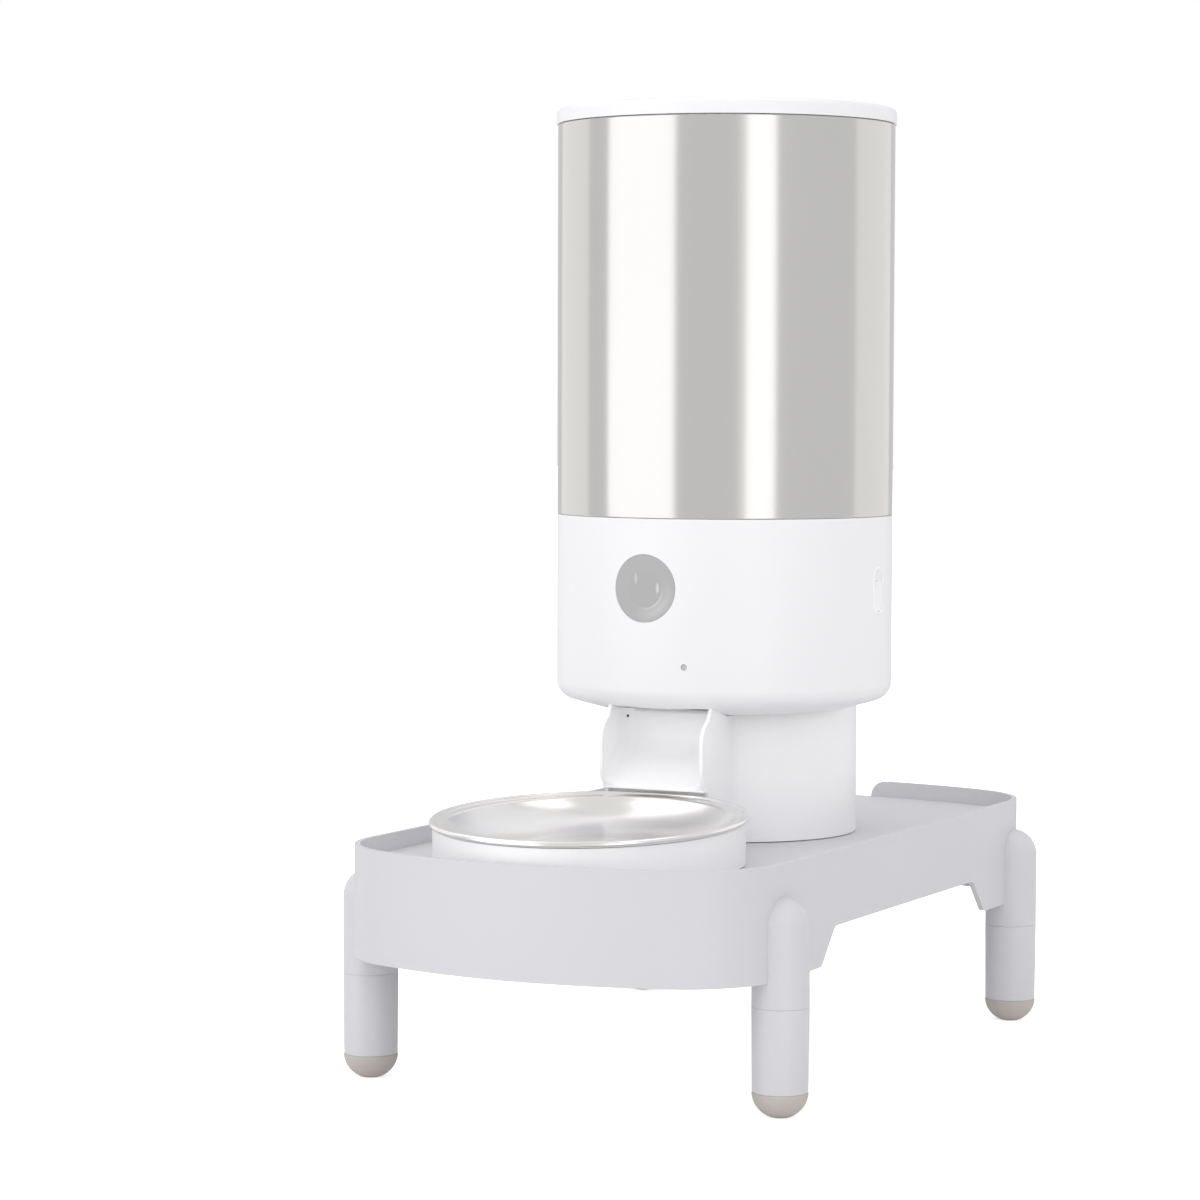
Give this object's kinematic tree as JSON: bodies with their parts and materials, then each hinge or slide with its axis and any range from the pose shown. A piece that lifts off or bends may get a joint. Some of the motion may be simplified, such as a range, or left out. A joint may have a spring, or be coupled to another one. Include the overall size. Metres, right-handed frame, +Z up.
{
  "type": "automatic pet feeder",
  "caption": "Automatic dry-food feeder: steel hopper on a white metering drum with camera, chute and dish, in a raised stand on rubber feet.",
  "frame": {"origin": "on the floor, under the middle of the stand", "axes": "+Z up; -Y is the front, where the dish is; +X is to the right as seen from the front"},
  "size_m": [0.2718, 0.466, 0.5288],
  "materials": {
    "stand": "light grey, fine satin",
    "feet": "matte taupe",
    "white_shell": "white, satin gloss",
    "white_inner": "white, matt",
    "hopper_steel": "satin, vertical reflections",
    "bowl_steel": "polished",
    "screw_steel": "plain",
    "motor_metal": "zinc plated",
    "brass": "sintered",
    "dark_plastic": "black",
    "rotor_rubber": "grey, soft",
    "seal_rubber": "pale silicone",
    "board": "green solder mask",
    "window": "grey tinted",
    "lens": "black, glossy",
    "led": "dark red",
    "mic_grey": "grey",
    "lock_grey": "pale grey, satin"
  },
  "bodies": {
    "stand": {"stand_tray": "stand", "leg_front_left": "stand", "leg_front_right": "stand", "leg_rear_left": "stand", "leg_rear_right": "stand", "foot_front_left": "feet", "foot_front_right": "feet", "foot_rear_left": "feet", "foot_rear_right": "feet"},
    "feeder": {"bowl_holder": "white_shell", "pedestal": "white_shell", "pedestal_cover": "white_inner", "base_pads": "feet", "cover_screws": "screw_steel", "power_socket": "dark_plastic", "food_chute": "white_shell", "drum_housing": "white_shell", "metering_chamber": "white_inner", "drop_duct": "white_inner", "chamber_baffle": "white_inner", "chamber_screws": "screw_steel", "shaft_bush": "brass", "gearbox": "motor_metal", "gearbox_screws": "screw_steel", "drive_motor": "motor_metal", "circuit_board": "board", "board_connectors": "dark_plastic", "speaker": "dark_plastic", "camera_window": "window", "camera_housing": "dark_plastic", "camera_lens": "lens", "infrared_leds": "led", "camera_board": "board", "microphone": "mic_grey", "lock_guide": "white_shell"},
    "bowl": {"food_bowl": "bowl_steel"},
    "rotor": {"metering_rotor": "rotor_rubber", "rotor_shaft": "screw_steel", "stirrer": "white_inner", "drive_gear": "white_inner"},
    "pinion": {"motor_pinion": "white_inner", "motor_shaft": "screw_steel"},
    "lock": {"lock_slider": "lock_grey"},
    "hopper": {"hopper_tank": "white_inner", "hopper_sleeve": "hopper_steel"},
    "lid": {"lid_cover": "white_shell", "lid_plug": "white_inner", "lid_seal": "seal_rubber", "desiccant_box": "white_inner", "desiccant_grille": "white_inner"}
  },
  "joints": [
    {"name": "feeder_lift", "type": "slide", "parent": "stand", "child": "feeder", "axis": [0, 0, 1], "range_m": [0, 0.08]},
    {"name": "bowl_tilt", "type": "hinge", "parent": "feeder", "child": "bowl", "pos_m": [0, -0.0561, 0.19], "axis": [-1, 0, 0], "range_deg": [0, 60]},
    {"name": "rotor_spin", "type": "hinge", "parent": "feeder", "child": "rotor", "pos_m": [0, 0.0259, 0.24], "axis": [0, 0, 1], "continuous": true},
    {"name": "pinion_spin", "type": "hinge", "parent": "feeder", "child": "pinion", "pos_m": [0, 0.0549, 0.22], "axis": [0, 0, 1], "continuous": true},
    {"name": "lock_slide", "type": "slide", "parent": "feeder", "child": "lock", "axis": [0, 0, 1], "range_m": [0, 0.007]},
    {"name": "hopper_lift", "type": "slide", "parent": "feeder", "child": "hopper", "axis": [0, 0, 1], "range_m": [0, 0.06]},
    {"name": "lid_lift", "type": "slide", "parent": "hopper", "child": "lid", "axis": [0, 0, 1], "range_m": [0, 0.04]}
  ],
  "couplings": [
    {"joint": "pinion_spin", "follows": "rotor_spin", "ratio": -3.1429}
  ]
}
